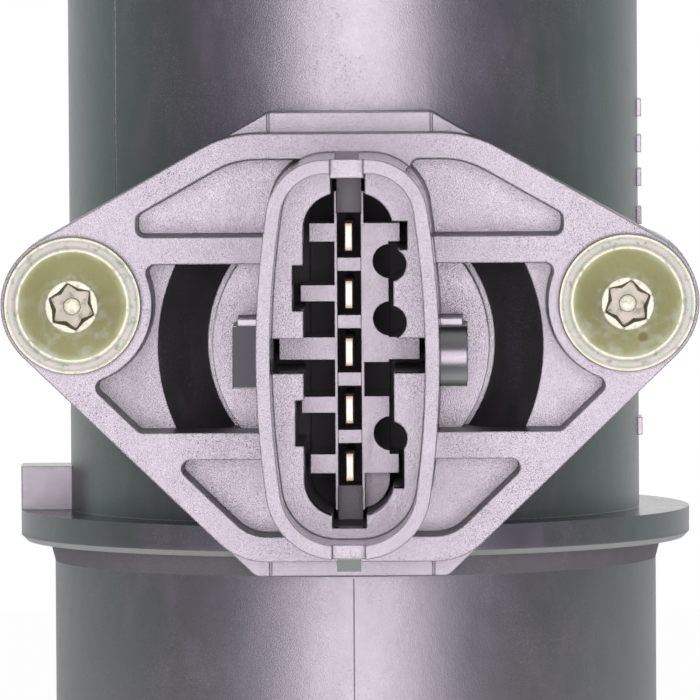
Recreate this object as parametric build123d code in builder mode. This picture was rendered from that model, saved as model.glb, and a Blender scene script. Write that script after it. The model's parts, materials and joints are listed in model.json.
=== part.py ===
from build123d import *
from math import cos, radians, sin, tan
import os

# Mass airflow sensor screwed to its duct housing, in millimetres. The duct's axis is Z and
# its lower end face lies at z = 0. The sensor plugs in from -Y, and what is called a level
# here is a distance out from the duct's axis along the sensor's axis.
os.makedirs("parts", exist_ok=True)

# Duct. It is a step smaller where the upper hose goes on, and the lower spigot flares a
# little into the stop ring
duct_length = 96.0
duct_wall = 2.6
upper_radius = 26.2
lower_radius = 27.7
spigot_length = 24.4
end_chamfer = 0.8
mouth_chamfer = 1.2
hose_length = 20.0
hose_step = 0.4
root_height = 1.9
root_flare = 0.5

# Stop ring above the lower spigot, with the lug that sets the duct's turn in its hose
ring_step = 3.1
ring_thickness = 2.8
ring_chamfer = 0.5
lug_height = 4.0
lug_depth = 6.0

# Raised bars on the duct's right side, by their heights from the sensor's axis
bar_heights = (20.3, 17.0, 13.9, 10.4, -9.0)
bar_size = 1.6
bar_width = 5.0
bar_rise = 0.3

# Levels of the sensor
sensor_above_ring = 16.4
pad_level = 31.5
flange_thickness = 7.0
shroud_height = 23.0

# Flange and pad outline: two ears about the screws, joined by slopes to flat ends
screw_spacing = 49.3
screw_offset = 3.9
ear_radius = 6.4
flange_half_height = 19.05
flange_top_corner = 10.0
flange_bottom_corner = 6.2
upper_slope = 29.5
lower_slope = 43.8
pad_half_height = 20.75
pad_upper_margin = -0.3
pad_lower_margin = 0.3
pad_corner = 1.0
pad_thickness = 6.5
witness_spacing = 14.6
witness_width = 0.2
witness_depth = 0.25

# Pockets that core out the flange
pocket_depth = 4.6
pocket_rim = 2.25
pocket_corner = 0.8
pocket_draft = 2.0
rib_width = 2.4
window_half_height = 7.5
screw_boss_radius = 7.05
left_pocket_start = 3.7
right_pocket_start = 5.4
upper_pocket_reach = 19.0
land_depth = 6.8
moat_outer_radius = 17.2
moat_inner_radius = 12.4
moat_depth = 7.2
moat_bottom_width = 0.5

# Connector shroud
shroud_width = 16.0
shroud_length = 34.8
shroud_side_radius = 85.0
shroud_top_corner = 5.2
shroud_bottom_corner = 6.2
shroud_wall = 1.25
key_notch_width = 2.9
key_notch_depth = 1.3
key_pad = 0.4
latch_width = 2.1
latch_length = 4.0
top_latch_rise = 0.6
bottom_latch_rise = 1.35
ledge_depth = 9.3
socket_floor_level = 34.0

# Blocks beside the shroud, by their heights from the sensor's axis
block_width = 2.4
block_rise = 4.0
block_low = -3.4
block_high = 2.0
block_round = 2.65
wedge_drop = 2.0
strip_low = 1.8
strip_high = 2.65
strip_rise = 1.1
strip_width = 2.0

# Coding ledge inside the shroud. Each notch, by its terminal counted from the top: reach
# below and above that terminal's middle, and depth past the side of the slot
slot_half_width = 3.95
slot_half_length = 14.2
slot_corner = 3.2
left_notches = {1: (1.2, 2.8, 0.95), 2: (1.6, 1.45, 2.75), 3: (2.9, 1.1, 0.75)}
right_notches = {0: (0.95, 1.55, 1.25), 2: (1.6, 1.45, 2.75), 4: (1.55, 1.85, 0.85)}
end_notch_width = 3.0
top_notch_depth = 1.8
bottom_notch_depth = 1.0
core_hole_radius = 1.5
core_hole_inset = 0.35
core_hole_rise = 0.28
core_hole_indices = (0, 1, 3)

# Carrier under the ledge. Its bars lie beside the terminals and reach past the slot's side
carrier_height = 9.6
carrier_gap = 0.45
carrier_clearance = 0.05
side_bar_rises = (0.3, 0.0, 0.2, 0.3, 0.15)
side_bar_widths = (1.65, 1.45, 2.0, 1.45, 1.7)
left_bar_reach = (-0.55, 0.35, 2.25, 0.3, -0.85)
right_bar_reach = (0.55, -0.45, 2.25, -0.45, 0.35)
end_tongue_width = 2.2
end_recess_depth = 3.0
channel_drop = 0.4
corner_recess_depth = 2.5
cell_width = 2.1
cell_wall = 1.2
cell_floor = 1.6
cell_side_wall = 0.25
side_pocket_floor = 1.0
right_pocket_index = 2
right_pocket_height = 3.0

# Blade terminals
terminal_count = 5
terminal_pitch = 5.08
blade_thickness = 0.8
blade_width = 2.6
blade_above_carrier = 2.9
blade_tip = 0.1
leg_width = 1.4
leg_on_board = 2.0

# Plug and its seal
plug_radius = 18.5
bore_clearance = 0.15
plug_length = 9.0
seal_section = 2.0
seal_sides = 8
seal_groove_width = 2.8
seal_below_pad = 3.4
seal_clearance = 0.02
neck_wall = 2.0

# Probe frame that hangs in the air stream
probe_width = 11.0
probe_chord = 25.0
probe_reach = 10.0
probe_tip_radius = 2.5
frame_wall = 1.2
cover_thickness = 1.2
cover_rebate = 0.7
cover_clearance = 0.1
cover_edge = 0.25
chamber_start = 20.5
chamber_end = 3.0
channel_start = 0.5
channel_end = 8.6
channel_floor_drop = 1.3
outlet_width = 5.0
outlet_length = 9.0

# Circuit on its plate
plate_thickness = 1.0
plate_clearance = 0.6
tongue_width = 7.0
tongue_reach = 6.5
board_thickness = 0.8
board_inset = 0.2
chip_size = 5.0
chip_height = 1.2
chip_edge = 0.2
chip_offset = 2.0
capacitor_width = 1.2
capacitor_length = 2.0
capacitor_height = 0.8
capacitor_offset = 3.0
carrier_plate = 0.8
element_width = 3.4
element_length = 2.8
element_thickness = 0.4

# Intake air temperature sensor
recess_width = 8.0
recess_height = 10.0
recess_depth = 2.4
thermistor_bead = 0.9
thermistor_lead = 0.25

# Screws
thread_radius = 1.95
pilot_clearance = 0.05
hole_clearance = 0.35
screw_length = 17.0
screw_tip = 1.0
pilot_reserve = 1.0
boss_wall = 2.6
boss_depth = 16.5
boss_rib_width = 5.0
boss_rib_thickness = 2.4
washer_radius = 6.05
washer_thickness = 0.9
cone_foot_radius = 4.85
crown_radius = 2.4
head_height = 2.7
recess_radius = 2.0
recess_drop = 1.7
security_pin_radius = 0.8
security_pin_drop = 0.15

# Inlet lattice and the ring that holds it
grid_seat = 18.0
grid_thickness = 6.0
grid_pitch = 6.2
grid_bar = 0.8
grid_rim = 1.6
grid_clearance = 0.1
retainer_thickness = 1.6
retainer_width = 2.2
retainer_gap_angle = 7.0

# Places that follow from the sizes above
duct_inner_radius = upper_radius - duct_wall
mouth_radius = lower_radius - duct_wall
hose_radius = upper_radius - hose_step
hose_start = duct_length - hose_length
ring_radius = lower_radius + ring_step
ring_top = spigot_length + ring_thickness
sensor_z = ring_top + sensor_above_ring
screw_x = screw_spacing / 2
screw_places = ((-screw_x, screw_offset), (screw_x, screw_offset))
flange_level = pad_level + flange_thickness
rim_level = flange_level + shroud_height
ledge_level = rim_level - ledge_depth
carrier_level = socket_floor_level + carrier_height
tip_level = carrier_level + blade_above_carrier
pocket_level = flange_level - pocket_depth
land_level = flange_level - land_depth
block_level = flange_level + block_rise
plug_end = pad_level - plug_length
bore_radius = plug_radius + bore_clearance
groove_radius = bore_radius - seal_section
seal_level = pad_level - seal_below_pad
board_top = -blade_thickness / 2
plate_top = board_top - board_thickness
chamber_floor = plate_top - plate_thickness
channel_floor = chamber_floor - channel_floor_drop
cover_seat = probe_width / 2 - cover_thickness
chamber_half = probe_chord / 2 - frame_wall
chamber_middle = (chamber_start + chamber_end) / 2
board_gap = plate_clearance + board_inset
blade_foot = (socket_floor_level + chamber_start) / 2
leg_end = chamber_start - board_gap - leg_on_board
pin_heights = [((terminal_count - 1) / 2 - i) * terminal_pitch for i in range(terminal_count)]
pin_places = [(0, height) for height in pin_heights]
core_hole_places = [
    (slot_half_width - core_hole_inset, pin_heights[index] - terminal_pitch / 2 + core_hole_rise)
    for index in core_hole_indices
]


def facing(level):
    """Plane square to the sensor's axis, with X to the right and its Y up the duct."""
    return Plane(origin=(0, -level, sensor_z), x_dir=(1, 0, 0), z_dir=(0, -1, 0))


def beside(x):
    """Plane square to X at the sensor's height, with its X along +Y and its Y up the duct."""
    return Plane(origin=(x, 0, sensor_z), x_dir=(0, 1, 0), z_dir=(1, 0, 0))


def through(x, height, level):
    """Plane through a line along Y at that place, with X to the right and its Y outward."""
    return Plane(origin=(x, -level, sensor_z + height), x_dir=(1, 0, 0), z_dir=(0, 0, -1))


def outward_axis(x, height):
    """Line along -Y at that place."""
    return Axis((x, 0, sensor_z + height), (0, -1, 0))


def rectangle(low, high, mode=Mode.ADD):
    """Rectangle between two opposite corners, for use inside a sketch."""
    with Locations(((low[0] + high[0]) / 2, (low[1] + high[1]) / 2)):
        Rectangle(high[0] - low[0], high[1] - low[1], mode=mode)


def ear_outline(upper_margin, lower_margin, half_height, top_corner, bottom_corner):
    """Flange outline: slopes that touch both ears and end on the flat top and bottom."""
    up, down = radians(upper_slope), radians(lower_slope)
    upper_ear, lower_ear = ear_radius + upper_margin, ear_radius + lower_margin
    upper_touch = (screw_x + upper_ear * sin(up), screw_offset + upper_ear * cos(up))
    lower_touch = (screw_x + lower_ear * sin(down), screw_offset - lower_ear * cos(down))
    upper_end = upper_touch[0] - (half_height - upper_touch[1]) / tan(up)
    lower_end = lower_touch[0] - (lower_touch[1] + half_height) / tan(down)
    with BuildSketch() as outline:
        with BuildLine():
            Polyline(
                (upper_end, half_height), upper_touch, (screw_x, screw_offset), lower_touch,
                (lower_end, -half_height), (-lower_end, -half_height),
                (-lower_touch[0], lower_touch[1]), (-screw_x, screw_offset),
                (-upper_touch[0], upper_touch[1]), (-upper_end, half_height),
                close=True,
            )
        make_face()
        fillet(outline.vertices().group_by(Axis.Y)[-1], top_corner)
        fillet(outline.vertices().group_by(Axis.Y)[0], bottom_corner)
        with Locations(*screw_places):
            Circle(ear_radius)
    return outline.sketch


def flange_outline():
    """Outline of the sensor's own flange."""
    return ear_outline(0, 0, flange_half_height, flange_top_corner, flange_bottom_corner)


def shroud_outline(inset):
    """Shroud outline: slightly bowed sides, flat ends and round corners."""
    half_width, half_length = shroud_width / 2, shroud_length / 2
    bow = shroud_side_radius - (shroud_side_radius**2 - half_length**2) ** 0.5
    end = half_width - bow
    with BuildSketch() as outline:
        with BuildLine():
            ThreePointArc((end, -half_length), (half_width, 0), (end, half_length))
            Line((end, half_length), (-end, half_length))
            ThreePointArc((-end, half_length), (-half_width, 0), (-end, -half_length))
            Line((-end, -half_length), (end, -half_length))
        make_face()
        fillet(outline.vertices().group_by(Axis.Y)[-1], shroud_top_corner)
        fillet(outline.vertices().group_by(Axis.Y)[0], shroud_bottom_corner)
        if inset:
            offset(amount=-inset)
    return outline.sketch


def pocket_outline():
    """The flange's pockets: what its rim, ribs, screw bosses and shroud leave free."""
    with BuildSketch() as outline:
        add(flange_outline())
        offset(amount=-pocket_rim)
        with Locations(*screw_places):
            Circle(screw_boss_radius, mode=Mode.SUBTRACT)
        for side in (1, -1):
            with Locations((0, side * (window_half_height + rib_width / 2))):
                Rectangle(screw_spacing + 2 * ear_radius, rib_width, mode=Mode.SUBTRACT)
            for tip, end in ((upper_pocket_reach, screw_x), (-screw_x, -upper_pocket_reach)):
                rectangle((tip, window_half_height), (end, flange_half_height), Mode.SUBTRACT)
        rectangle(
            (-left_pocket_start, window_half_height), (right_pocket_start, flange_half_height),
            Mode.SUBTRACT,
        )
        rectangle(
            (-key_notch_width / 2, -flange_half_height), (key_notch_width / 2, window_half_height),
            Mode.SUBTRACT,
        )
        offset(amount=-pocket_corner)
        offset(amount=pocket_corner)
        add(shroud_outline(0), mode=Mode.SUBTRACT)
    return outline.sketch


def slot_outline():
    """Opening that the coding ledge leaves for the mating plug."""
    with BuildSketch() as outline:
        RectangleRounded(2 * slot_half_width, 2 * slot_half_length, slot_corner)
        for side, notches in ((-1, left_notches), (1, right_notches)):
            for pin, (below, above, depth) in notches.items():
                reach = side * (slot_half_width + depth)
                low, high = pin_heights[pin] - below, pin_heights[pin] + above
                rectangle((min(reach, 0), low), (max(reach, 0), high))
        rectangle(
            (-end_notch_width / 2, -slot_half_length - bottom_notch_depth),
            (end_notch_width / 2, slot_half_length + top_notch_depth),
        )
    return outline.sketch


def side_bars():
    """The carrier's bars beside each terminal: lower edge, upper edge, left end, right end."""
    bars = []
    rows = zip(pin_heights, side_bar_rises, side_bar_widths, left_bar_reach, right_bar_reach)
    for height, rise, width, left, right in rows:
        low, high = height + rise - width / 2, height + rise + width / 2
        bars.append((low, high, -slot_half_width - left, slot_half_width + right))
    return bars


# Duct housing
with BuildPart() as duct_housing:
    with BuildSketch(Plane.XZ):
        with BuildLine():
            Polyline(
                (0, 0), (lower_radius, 0), (lower_radius, spigot_length - root_height),
                (lower_radius + root_flare, spigot_length), (ring_radius, spigot_length),
                (ring_radius, ring_top), (upper_radius, ring_top), (upper_radius, hose_start),
                (hose_radius, hose_start), (hose_radius, duct_length), (0, duct_length), close=True,
            )
        make_face()
    revolve(axis=Axis.Z)
    circles = duct_housing.edges().filter_by(GeomType.CIRCLE)
    ring_edges = circles.filter_by(lambda edge: abs(edge.radius - ring_radius) < ring_chamfer / 2)
    chamfer([ring_edges.sort_by(Axis.Z)[0]], ring_chamfer)
    chamfer(duct_housing.edges().filter_by(GeomType.CIRCLE).group_by(Axis.Z)[-1], end_chamfer)

    # Pad plate, the neck round the bore, the screw bosses and the ribs that tie them in
    with BuildSketch(facing(pad_level)):
        add(ear_outline(pad_upper_margin, pad_lower_margin, pad_half_height, pad_corner, pad_corner))
    extrude(amount=-pad_thickness)
    with BuildSketch(facing(pad_level)):
        Circle(bore_radius + neck_wall)
        for side in (1, -1):
            with Locations((side * (screw_x - boss_rib_width / 2), screw_offset)):
                Rectangle(boss_rib_width, boss_rib_thickness)
    extrude(amount=-pad_level)
    with BuildSketch(facing(pad_level)):
        with Locations(*screw_places):
            Circle(thread_radius + boss_wall)
    extrude(amount=-boss_depth)

    # Lug on the stop ring and the raised bars
    with BuildSketch(Plane.XY.offset(ring_top)):
        rectangle((-ring_radius, -lug_depth / 2), (-duct_inner_radius, lug_depth / 2))
        Circle(ring_radius, mode=Mode.INTERSECT)
    extrude(amount=lug_height)
    with Locations(*[(upper_radius, 0, sensor_z + height) for height in bar_heights]):
        Box(2 * bar_rise, bar_width, bar_size)

    # Air passage with the wider mouth for the lattice and its chamfered lip
    with BuildSketch(Plane.XZ):
        with BuildLine():
            Polyline(
                (mouth_radius + mouth_chamfer, 0), (mouth_radius, mouth_chamfer), (mouth_radius, grid_seat),
                (duct_inner_radius, grid_seat), (duct_inner_radius, duct_length), (0, duct_length), (0, 0),
                close=True,
            )
        make_face()
    revolve(axis=Axis.Z, mode=Mode.SUBTRACT)

    # Bore for the plug, pilot holes and the witness lines at the ends of the pad
    with BuildSketch(facing(pad_level)):
        Circle(bore_radius)
    extrude(amount=-pad_level, mode=Mode.SUBTRACT)
    with BuildSketch(facing(pad_level)):
        with Locations(*screw_places):
            Circle(thread_radius + pilot_clearance)
    extrude(amount=-(screw_length - flange_thickness + pilot_reserve), mode=Mode.SUBTRACT)
    with BuildSketch(facing(pad_level)):
        with GridLocations(witness_spacing, 0, 2, 1):
            Rectangle(witness_width, 2 * pad_half_height)
        Circle(bore_radius, mode=Mode.SUBTRACT)
    extrude(amount=-witness_depth, mode=Mode.SUBTRACT)
duct_housing.part.label = "duct_housing"
export_step(duct_housing.part, "parts/duct_housing.step")


# Curved groove of triangular section that the flange's windows open into
with BuildPart() as moat:
    with BuildSketch(through(0, 0, pocket_level)):
        with BuildLine():
            Polyline(
                (moat_inner_radius, 0), (moat_outer_radius, 0),
                (moat_inner_radius + moat_bottom_width, -moat_depth), (moat_inner_radius, -moat_depth),
                close=True,
            )
        make_face()
    revolve(axis=outward_axis(0, 0))
    with BuildSketch(facing(pocket_level)):
        Rectangle(2 * moat_outer_radius, 2 * window_half_height)
        add(shroud_outline(0), mode=Mode.SUBTRACT)
    extrude(amount=-moat_depth, mode=Mode.INTERSECT)

# Sensor body
with BuildPart() as sensor_body:
    with BuildSketch(facing(pad_level)):
        add(flange_outline())
    extrude(amount=flange_thickness)
    with BuildSketch(facing(pad_level)):
        Circle(plug_radius)
    extrude(amount=-plug_length)

    # Probe frame with a rounded tip, rooted in the plug
    with BuildSketch(beside(0)):
        rectangle((-(pad_level + plug_end) / 2, -probe_chord / 2), (probe_reach, probe_chord / 2))
    extrude(amount=probe_width / 2, both=True)
    fillet(sensor_body.edges().filter_by(Axis.X).group_by(Axis.Y)[-1], probe_tip_radius)

    # Pockets, the deeper land round the connector and the curved groove
    with BuildSketch(facing(flange_level)):
        add(pocket_outline())
    extrude(amount=-pocket_depth, taper=pocket_draft, mode=Mode.SUBTRACT)
    with BuildSketch(facing(pocket_level)):
        Circle(moat_inner_radius)
        Rectangle(2 * moat_inner_radius, 2 * window_half_height, mode=Mode.INTERSECT)
        add(shroud_outline(0), mode=Mode.SUBTRACT)
    extrude(amount=-(land_depth - pocket_depth), mode=Mode.SUBTRACT)
    add(moat.part, mode=Mode.SUBTRACT)

    # Connector shroud, its coding ledge and the round core holes in the ledge
    with BuildSketch(facing(land_level)):
        add(shroud_outline(0))
    extrude(amount=rim_level - land_level)
    with BuildSketch(facing(rim_level)):
        add(shroud_outline(shroud_wall))
    extrude(amount=-ledge_depth, mode=Mode.SUBTRACT)
    with BuildSketch(facing(ledge_level)):
        add(slot_outline())
        with Locations(*core_hole_places):
            Circle(core_hole_radius)
    extrude(amount=-(ledge_level - socket_floor_level), mode=Mode.SUBTRACT)

    # Thicker wall under the upper key notch, both notches and the latch ramps outside them
    pad_end = (shroud_length - shroud_wall) / 2
    with BuildSketch(facing(ledge_level)):
        rectangle(
            (-key_notch_width / 2, pad_end - shroud_wall / 2 - key_pad), (key_notch_width / 2, pad_end)
        )
    extrude(amount=ledge_depth)
    with BuildSketch(facing(rim_level)):
        Rectangle(key_notch_width, shroud_length)
    extrude(amount=-key_notch_depth, mode=Mode.SUBTRACT)
    ramp_start = -(rim_level - key_notch_depth)
    for side, rise in ((1, top_latch_rise), (-1, bottom_latch_rise)):
        with BuildSketch(beside(0)):
            with BuildLine():
                wall_middle = side * (shroud_length - shroud_wall) / 2
                Polyline(
                    (ramp_start, wall_middle), (ramp_start, side * shroud_length / 2),
                    (ramp_start + latch_length, side * (shroud_length / 2 + rise)),
                    (ramp_start + latch_length, wall_middle), close=True,
                )
            make_face()
        extrude(amount=latch_width / 2, both=True)

    # Rounded block right of the shroud, the wedge left of it and the strip above each
    block_root = (shroud_width - shroud_wall) / 2
    with BuildSketch(beside(block_root)) as block_side:
        rectangle((-block_level, block_low), (-land_level, block_high))
        fillet(block_side.vertices().group_by(Axis.X)[0], block_round)
    extrude(amount=block_width + shroud_wall / 2)
    with BuildSketch(beside(-block_root)):
        with BuildLine():
            Polyline(
                (-block_level, block_low), (-land_level, block_low), (-land_level, block_high),
                (-block_level + wedge_drop, block_high), close=True,
            )
        make_face()
    extrude(amount=-(block_width + shroud_wall / 2))
    for side in (1, -1):
        with BuildSketch(beside(side * block_root)):
            rectangle((-flange_level - strip_rise, strip_low), (-land_level, strip_high))
        extrude(amount=side * (strip_width + shroud_wall / 2))

    # Seal groove and the screw holes
    with BuildSketch(facing(seal_level + seal_groove_width / 2)):
        Circle(bore_radius)
        Circle(groove_radius, mode=Mode.SUBTRACT)
    extrude(amount=-seal_groove_width, mode=Mode.SUBTRACT)
    with BuildSketch(facing(flange_level)):
        with Locations(*screw_places):
            Circle(thread_radius + hole_clearance)
    extrude(amount=-flange_thickness, mode=Mode.SUBTRACT)

    # Slots that the terminals fill, wide for the blades and narrow for their legs
    with BuildSketch(facing(socket_floor_level)):
        with Locations(*pin_places):
            Rectangle(blade_thickness, blade_width)
    extrude(amount=-(socket_floor_level - blade_foot), mode=Mode.SUBTRACT)
    with BuildSketch(facing(blade_foot)):
        with Locations(*pin_places):
            Rectangle(blade_thickness, leg_width)
    extrude(amount=-(blade_foot - chamber_start), mode=Mode.SUBTRACT)

    # Circuit chamber, bypass channel and the slot between them, all open to +X
    with BuildSketch(beside(cover_seat)):
        rectangle((-chamber_start, -chamber_half), (-chamber_end, chamber_half))
    extrude(amount=-(cover_seat - chamber_floor), mode=Mode.SUBTRACT)
    with BuildSketch(beside(cover_seat)):
        rectangle((channel_start, -probe_chord / 2), (channel_end, probe_chord / 2))
    extrude(amount=-(cover_seat - channel_floor), mode=Mode.SUBTRACT)
    with BuildSketch(beside(plate_top + carrier_plate)):
        rectangle((-chamber_end, -tongue_width / 2), (channel_start, tongue_width / 2))
    extrude(amount=-(carrier_plate + plate_thickness), mode=Mode.SUBTRACT)
    rebate_half = chamber_half + cover_rebate
    with BuildSketch(beside(probe_width / 2)):
        rectangle((-chamber_start - cover_rebate, -rebate_half), (channel_end + cover_rebate, rebate_half))
    extrude(amount=-cover_thickness, mode=Mode.SUBTRACT)

    # Recess of the temperature sensor, open to -X
    with BuildSketch(beside(-probe_width / 2)):
        with Locations((-chamber_middle, 0)):
            Rectangle(recess_width, recess_height)
    extrude(amount=recess_depth, mode=Mode.SUBTRACT)
sensor_body.part.label = "sensor_body"
export_step(sensor_body.part, "parts/sensor_body.step")


# Carrier that spaces the terminals at the bottom of the socket
with BuildPart() as terminal_carrier:
    half_width = slot_half_width - carrier_gap
    half_length = slot_half_length - carrier_clearance
    with BuildSketch(facing(socket_floor_level)):
        RectangleRounded(2 * half_width, 2 * half_length, slot_corner - carrier_gap)
        for low, high, left, right in side_bars():
            rectangle((left, low), (right, high))
        rectangle(
            (-end_tongue_width / 2, -half_length - bottom_notch_depth),
            (end_tongue_width / 2, half_length + bottom_notch_depth),
        )
    extrude(amount=carrier_height)

    # Terminal cells, with slots in their floors that the blades fill
    with BuildSketch(facing(carrier_level)):
        with Locations(*pin_places):
            Rectangle(cell_width, terminal_pitch - cell_wall)
    extrude(amount=-(carrier_height - cell_floor), mode=Mode.SUBTRACT)
    with BuildSketch(facing(socket_floor_level)):
        with Locations(*pin_places):
            Rectangle(blade_thickness, blade_width)
    extrude(amount=cell_floor, mode=Mode.SUBTRACT)

    # Shallow channel along the cells and the recesses at its ends
    with BuildSketch(facing(carrier_level)):
        Rectangle(cell_width, 2 * half_length)
    extrude(amount=-channel_drop, mode=Mode.SUBTRACT)
    last_cell = pin_heights[0] + (terminal_pitch - cell_wall) / 2
    tongue_end = half_length + bottom_notch_depth
    with BuildSketch(facing(carrier_level)):
        for side in (1, -1):
            with Locations((0, side * (last_cell + tongue_end) / 2)):
                Rectangle(end_tongue_width, tongue_end - last_cell)
    extrude(amount=-end_recess_depth, mode=Mode.SUBTRACT)

    # Pockets between the left bars, those on the right and the round core holes
    cell_side = cell_width / 2 + cell_side_wall
    with BuildSketch(facing(carrier_level)):
        pocket_tops = [slot_half_length] + [low for low, high, left, right in side_bars()]
        pocket_bottoms = [high for low, high, left, right in side_bars()] + [-slot_half_length]
        for bottom, top in zip(pocket_bottoms, pocket_tops):
            rectangle((-slot_half_width, bottom), (-cell_side, top))
        rectangle((cell_side, pocket_bottoms[0]), (slot_half_width, slot_half_length - cell_side_wall))
        right_pocket_middle = pin_heights[right_pocket_index] - terminal_pitch / 2
        with Locations(((cell_side + slot_half_width) / 2, right_pocket_middle)):
            Rectangle(slot_half_width - cell_side, right_pocket_height)
        with Locations(*core_hole_places):
            Circle(core_hole_radius)
    extrude(amount=-(carrier_height - side_pocket_floor), mode=Mode.SUBTRACT)
    with BuildSketch(facing(carrier_level)):
        rectangle((cell_side, -slot_half_length), (slot_half_width, pocket_tops[-1]))
    extrude(amount=-corner_recess_depth, mode=Mode.SUBTRACT)
terminal_carrier.part.label = "terminal_carrier"
export_step(terminal_carrier.part, "parts/terminal_carrier.step")


# Terminals: a blade with a chamfered tip and the narrower leg that lands on the board
for number, place in enumerate(pin_places, start=1):
    with BuildPart() as terminal:
        with BuildSketch(facing(tip_level)):
            with Locations(place):
                Rectangle(blade_thickness, blade_width)
        extrude(amount=-(tip_level - blade_foot))
        chamfer(terminal.faces().sort_by(Axis.Y)[0].edges(), blade_tip)
        with BuildSketch(facing(blade_foot)):
            with Locations(place):
                Rectangle(blade_thickness, leg_width)
        extrude(amount=-(blade_foot - leg_end))
    terminal.part.label = f"terminal_{number}"
    export_step(terminal.part, f"parts/terminal_{number}.step")


# Seal in its groove, round rubber drawn with flat sides
with BuildPart() as o_ring:
    with BuildSketch(through(0, 0, seal_level)):
        with Locations(((groove_radius + bore_radius) / 2, 0)):
            seal_radius = seal_section / 2 - seal_clearance
            RegularPolygon(seal_radius, seal_sides, major_radius=False, rotation=180 / seal_sides)
    revolve(axis=outward_axis(0, 0))
o_ring.part.label = "o_ring"
export_step(o_ring.part, "parts/o_ring.step")


# Metal plate on the chamber's floor, with the tongue that reaches into the channel
with BuildPart() as base_plate:
    with BuildSketch(beside(chamber_floor)):
        rectangle(
            (-chamber_start + plate_clearance, -chamber_half + plate_clearance),
            (-chamber_end - plate_clearance, chamber_half - plate_clearance),
        )
        rectangle((-chamber_end - plate_clearance, -tongue_width / 2), (tongue_reach, tongue_width / 2))
    extrude(amount=plate_thickness)
base_plate.part.label = "base_plate"
export_step(base_plate.part, "parts/base_plate.step")


# Board on the plate, and the chip and the capacitors on the board
with BuildPart() as circuit_board:
    with BuildSketch(beside(plate_top)):
        rectangle(
            (-chamber_start + board_gap, -chamber_half + board_gap),
            (-chamber_end - board_gap, chamber_half - board_gap),
        )
    extrude(amount=board_thickness)
circuit_board.part.label = "circuit_board"
export_step(circuit_board.part, "parts/circuit_board.step")

with BuildPart() as control_chip:
    with BuildSketch(beside(board_top)):
        with Locations((-chamber_middle + chip_offset, 0)):
            Rectangle(chip_size, chip_size)
    extrude(amount=chip_height)
    chamfer(control_chip.faces().sort_by(Axis.X)[-1].edges(), chip_edge)
control_chip.part.label = "control_chip"
export_step(control_chip.part, "parts/control_chip.step")

with BuildPart() as board_capacitors:
    with BuildSketch(beside(board_top)):
        with Locations((-chamber_middle - capacitor_offset, 0)):
            with GridLocations(0, terminal_pitch, 1, terminal_count - 1):
                Rectangle(capacitor_width, capacitor_length)
    extrude(amount=capacitor_height)
board_capacitors.part.label = "board_capacitors"
export_step(board_capacitors.part, "parts/board_capacitors.step")


# Carrier of the sensing element on the plate's tongue, and the element let into it
element_place = ((channel_start + tongue_reach) / 2, 0)
with BuildPart() as chip_carrier:
    with BuildSketch(beside(plate_top)):
        rectangle((channel_start, -tongue_width / 2), (tongue_reach, tongue_width / 2))
    extrude(amount=carrier_plate)
    with BuildSketch(beside(plate_top + carrier_plate)):
        with Locations(element_place):
            Rectangle(element_width, element_length)
    extrude(amount=-element_thickness, mode=Mode.SUBTRACT)
chip_carrier.part.label = "chip_carrier"
export_step(chip_carrier.part, "parts/chip_carrier.step")

with BuildPart() as sensor_chip:
    with BuildSketch(beside(plate_top + carrier_plate)):
        with Locations(element_place):
            Rectangle(element_width, element_length)
    extrude(amount=-element_thickness)
sensor_chip.part.label = "sensor_chip"
export_step(sensor_chip.part, "parts/sensor_chip.step")


# Covers that close the chamber and the channel, side by side in one rebate
cover_half = rebate_half - cover_clearance
cover_joint = (channel_start - chamber_end) / 2
with BuildPart() as electronics_cover:
    with BuildSketch(beside(cover_seat)):
        rectangle(
            (-chamber_start - cover_rebate + cover_clearance, -cover_half),
            (cover_joint - cover_clearance, cover_half),
        )
    extrude(amount=cover_thickness)
    chamfer(electronics_cover.faces().sort_by(Axis.X)[-1].edges(), cover_edge)
electronics_cover.part.label = "electronics_cover"
export_step(electronics_cover.part, "parts/electronics_cover.step")

with BuildPart() as bypass_cover:
    with BuildSketch(beside(cover_seat)):
        rectangle(
            (cover_joint + cover_clearance, -cover_half),
            (channel_end + cover_rebate - cover_clearance, cover_half),
        )
        with Locations(((channel_start + channel_end) / 2, 0)):
            SlotOverall(outlet_length, outlet_width, rotation=90, mode=Mode.SUBTRACT)
    extrude(amount=cover_thickness)
bypass_cover.part.label = "bypass_cover"
export_step(bypass_cover.part, "parts/bypass_cover.step")


# Temperature sensor: a bead on two leads that end in the walls of its recess
with BuildPart() as thermistor:
    with Locations(((recess_depth - probe_width) / 2, -chamber_middle, sensor_z)):
        Cylinder(thermistor_bead, 2 * thermistor_bead)
        Cylinder(thermistor_lead, recess_height)
thermistor.part.label = "thermistor"
export_step(thermistor.part, "parts/thermistor.step")


# Screws with a washer head, a cone and a recess round a pin
for side, (x, height) in zip(("left", "right"), screw_places):
    with BuildPart() as screw:
        with BuildSketch(through(x, height, flange_level)):
            with BuildLine():
                Polyline(
                    (0, -screw_length), (thread_radius - screw_tip / 2, -screw_length),
                    (thread_radius, -screw_length + screw_tip), (thread_radius, 0), (washer_radius, 0),
                    (washer_radius, washer_thickness), (cone_foot_radius, washer_thickness),
                    (crown_radius, head_height), (0, head_height), close=True,
                )
            make_face()
        revolve(axis=outward_axis(x, height))
        with BuildSketch(facing(flange_level + head_height)):
            with Locations((x, height)):
                Circle(recess_radius)
                Circle(security_pin_radius, mode=Mode.SUBTRACT)
        extrude(amount=-recess_drop, mode=Mode.SUBTRACT)
        with BuildSketch(facing(flange_level + head_height)):
            with Locations((x, height)):
                Circle(security_pin_radius)
        extrude(amount=-security_pin_drop, mode=Mode.SUBTRACT)
    screw.part.label = f"screw_{side}"
    export_step(screw.part, f"parts/screw_{side}.step")


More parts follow.
